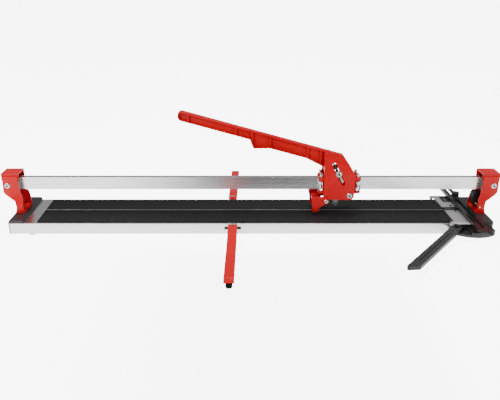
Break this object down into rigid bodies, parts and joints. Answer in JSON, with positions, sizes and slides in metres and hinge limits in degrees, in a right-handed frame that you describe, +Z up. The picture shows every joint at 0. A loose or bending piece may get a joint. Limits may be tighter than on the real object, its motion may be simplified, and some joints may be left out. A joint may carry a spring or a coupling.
{
  "type": "tile cutter",
  "caption": "Long manual tile cutter: padded base, guide rail between two towers, roller carriage with handle, scoring wheel and breaker foot, fence and folding arms.",
  "frame": {"origin": "ground level under the centre of the aluminium base", "axes": "+X along the rail towards the fence, +Y to the rear, +Z up"},
  "size_m": [1.476, 0.8546, 0.3487],
  "materials": {
    "aluminium": "brushed anodised extrusion",
    "ridge_metal": "dull ridge bar",
    "pad_rubber": "matt rubber",
    "foot_rubber": "matt rubber",
    "red_sheet": "glossy red powder coat",
    "red_casting": "glossy red paint over a casting",
    "grey_plastic": "moulded dark grey plastic",
    "fence_paint": "glossy dark paint",
    "black_plastic": "black plastic",
    "plate_metal": "brushed plate",
    "black_steel": "blackened steel",
    "zinc": "zinc plated steel",
    "roller_steel": "turned steel",
    "holder_steel": "dull steel",
    "carbide": "ground carbide",
    "brass": "brass plated steel"
  },
  "bodies": {
    "base": {"base_profile": "aluminium", "breaking_ridge": "ridge_metal", "front_pad": "pad_rubber", "rear_pad": "pad_rubber", "rubber_feet": "foot_rubber", "left_end_cap": "grey_plastic", "right_end_cap": "grey_plastic", "end_cap_screws": "black_steel", "left_tower": "red_sheet", "right_tower": "red_sheet", "left_tower_cap": "red_sheet", "right_tower_cap": "red_sheet", "tower_floor_screws": "zinc", "rail": "aluminium", "left_rail_blocks": "grey_plastic", "right_rail_blocks": "grey_plastic", "rail_cross_bolts": "zinc", "front_stop_plate": "plate_metal", "rear_stop_plate": "plate_metal", "scale_window": "black_plastic", "stop_channel": "black_plastic", "stop_plate_screws": "black_steel", "side_wing": "grey_plastic", "side_arm_bolt": "black_steel", "fence_guide": "black_plastic", "lock_lever_pin": "brass", "front_arm_bracket": "black_steel", "front_arm_bolt": "zinc", "rear_arm_bracket": "black_steel", "rear_arm_bolt": "zinc"},
    "side_arm": {"side_arm": "grey_plastic"},
    "fence": {"fence_bar": "fence_paint"},
    "fence_knob": {"fence_knob": "black_plastic"},
    "lock_lever": {"lock_lever": "black_plastic"},
    "front_support": {"front_support_arm": "red_sheet", "front_arm_foot": "foot_rubber"},
    "rear_support": {"rear_support_arm": "red_sheet", "rear_arm_foot": "foot_rubber"},
    "carriage": {"carriage_frame": "red_casting", "roller_axles": "zinc", "handle_pivot_bolt": "zinc"},
    "front_left_roller": {"front_left_roller": "roller_steel"},
    "front_right_roller": {"front_right_roller": "roller_steel"},
    "rear_left_roller": {"rear_left_roller": "roller_steel"},
    "rear_right_roller": {"rear_right_roller": "roller_steel"},
    "handle": {"handle": "red_casting", "wheel_holder": "holder_steel", "wheel_holder_screws": "zinc", "wheel_axle": "zinc", "breaker_foot_bolt": "zinc"},
    "adjuster": {"adjuster_bolt": "zinc"},
    "scoring_wheel": {"scoring_wheel": "carbide"},
    "breaker": {"breaker_foot": "red_casting"}
  },
  "joints": [
    {"name": "carriage_slide", "type": "slide", "parent": "base", "child": "carriage", "axis": [1, 0, 0], "range_m": [-0.83, 0.33]},
    {"name": "handle_pivot", "type": "hinge", "parent": "carriage", "child": "handle", "pos_m": [0.294, 0, 0.1], "axis": [0, 1, 0], "range_deg": [-3, 8]},
    {"name": "breaker_pivot", "type": "hinge", "parent": "handle", "child": "breaker", "pos_m": [0.2255, 0, 0.0835], "axis": [0, 1, 0], "range_deg": [-4, 4]},
    {"name": "wheel_spin", "type": "hinge", "parent": "handle", "child": "scoring_wheel", "pos_m": [0.259, 0, 0.0606], "axis": [0, 1, 0], "continuous": true},
    {"name": "adjuster_slide", "type": "slide", "parent": "handle", "child": "adjuster", "axis": [-0.4384, 0, 0.8988], "range_m": [0, 0.02]},
    {"name": "side_arm_swing", "type": "hinge", "parent": "base", "child": "side_arm", "pos_m": [0.597, -0.114, 0.023], "axis": [0, 0, 1], "range_deg": [-48, 38]},
    {"name": "fence_slide", "type": "slide", "parent": "base", "child": "fence", "axis": [0, 1, 0], "range_m": [-0.08, 0.15]},
    {"name": "fence_knob_turn", "type": "hinge", "parent": "base", "child": "fence_knob", "pos_m": [0.653, 0.082, 0.06], "axis": [0, 0, 1], "continuous": true},
    {"name": "lock_lever_swing", "type": "hinge", "parent": "base", "child": "lock_lever", "pos_m": [0.685, 0, 0.065], "axis": [0, 1, 0], "range_deg": [-50, 0]},
    {"name": "front_support_fold", "type": "hinge", "parent": "base", "child": "front_support", "pos_m": [-0.053, -0.115, 0.033], "axis": [0, 0, 1], "range_deg": [-86, 89]},
    {"name": "rear_support_fold", "type": "hinge", "parent": "base", "child": "rear_support", "pos_m": [-0.053, 0.115, 0.033], "axis": [0, 0, 1], "range_deg": [-86, 89]},
    {"name": "front_left_roller_spin", "type": "hinge", "parent": "carriage", "child": "front_left_roller", "pos_m": [0.2115, -0.018, 0.127], "axis": [0, 0, 1], "continuous": true},
    {"name": "front_right_roller_spin", "type": "hinge", "parent": "carriage", "child": "front_right_roller", "pos_m": [0.3185, -0.018, 0.127], "axis": [0, 0, 1], "continuous": true},
    {"name": "rear_left_roller_spin", "type": "hinge", "parent": "carriage", "child": "rear_left_roller", "pos_m": [0.2115, 0.018, 0.127], "axis": [0, 0, 1], "continuous": true},
    {"name": "rear_right_roller_spin", "type": "hinge", "parent": "carriage", "child": "rear_right_roller", "pos_m": [0.3185, 0.018, 0.127], "axis": [0, 0, 1], "continuous": true}
  ],
  "couplings": [
    {"joint": "front_left_roller_spin", "follows": "carriage_slide", "rad_per_m": 102.04},
    {"joint": "front_right_roller_spin", "follows": "carriage_slide", "rad_per_m": 102.04},
    {"joint": "rear_left_roller_spin", "follows": "carriage_slide", "rad_per_m": -102.04},
    {"joint": "rear_right_roller_spin", "follows": "carriage_slide", "rad_per_m": -102.04}
  ]
}
